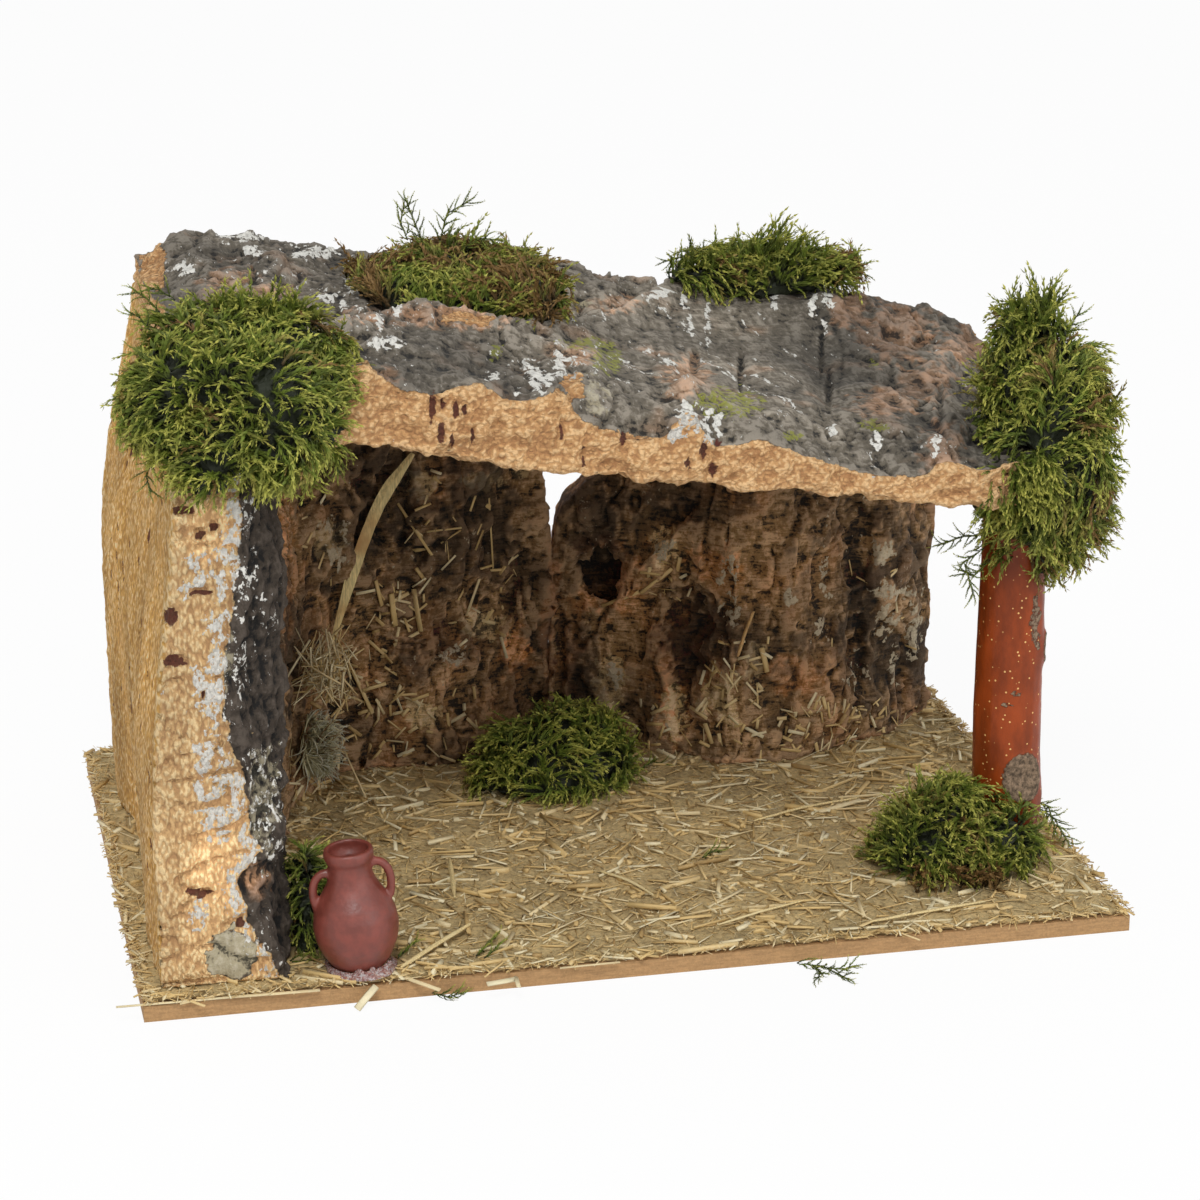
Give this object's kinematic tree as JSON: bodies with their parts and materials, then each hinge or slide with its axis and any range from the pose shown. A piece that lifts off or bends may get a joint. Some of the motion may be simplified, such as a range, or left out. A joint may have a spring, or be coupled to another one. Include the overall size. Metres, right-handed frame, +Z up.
{
  "type": "nativity stable",
  "caption": "Cork bark nativity stable on a fibreboard base, with a slab roof, rough back walls, a round wooden post, a small jug, moss and straw.",
  "frame": {"origin": "middle of the base board's underside, where it stands on a table", "axes": "+X along the base board, to the right for a viewer in front; +Z up; the open front faces -Y"},
  "size_m": [0.3053, 0.2177, 0.2062],
  "materials": {
    "board": "raw fibreboard",
    "cover": "chopped straw and sawdust in glue",
    "cork": "sawn and natural cork",
    "bark": "rough outer bark",
    "stem": "smooth red-brown bark",
    "clay": "satin",
    "glue": "cloudy hot glue",
    "moss": "dried moss",
    "lichen": "dried lichen",
    "straw": "dry straw"
  },
  "bodies": {
    "root": {"base_board": "board", "ground_cover": "cover", "left_wall": "cork", "back_wall_left": "bark", "back_wall_right": "bark", "roof_front": "bark", "roof_rear": "bark", "post": "stem", "jug": "clay", "jug_glue": "glue", "moss_roof_corner": "moss", "moss_post_top": "moss", "moss_roof_left": "moss", "moss_roof_right": "moss", "moss_floor": "moss", "moss_post_foot": "moss", "moss_by_jug": "moss", "lichen_tuft": "lichen", "straw_tangle": "straw", "reed_leaf": "straw", "straw_stick": "straw", "floor_straw_1": "straw", "floor_straw_2": "straw", "floor_straw_3": "straw", "floor_straw_4": "straw", "floor_straw_5": "straw", "floor_straw_6": "straw"}
  },
  "joints": []
}
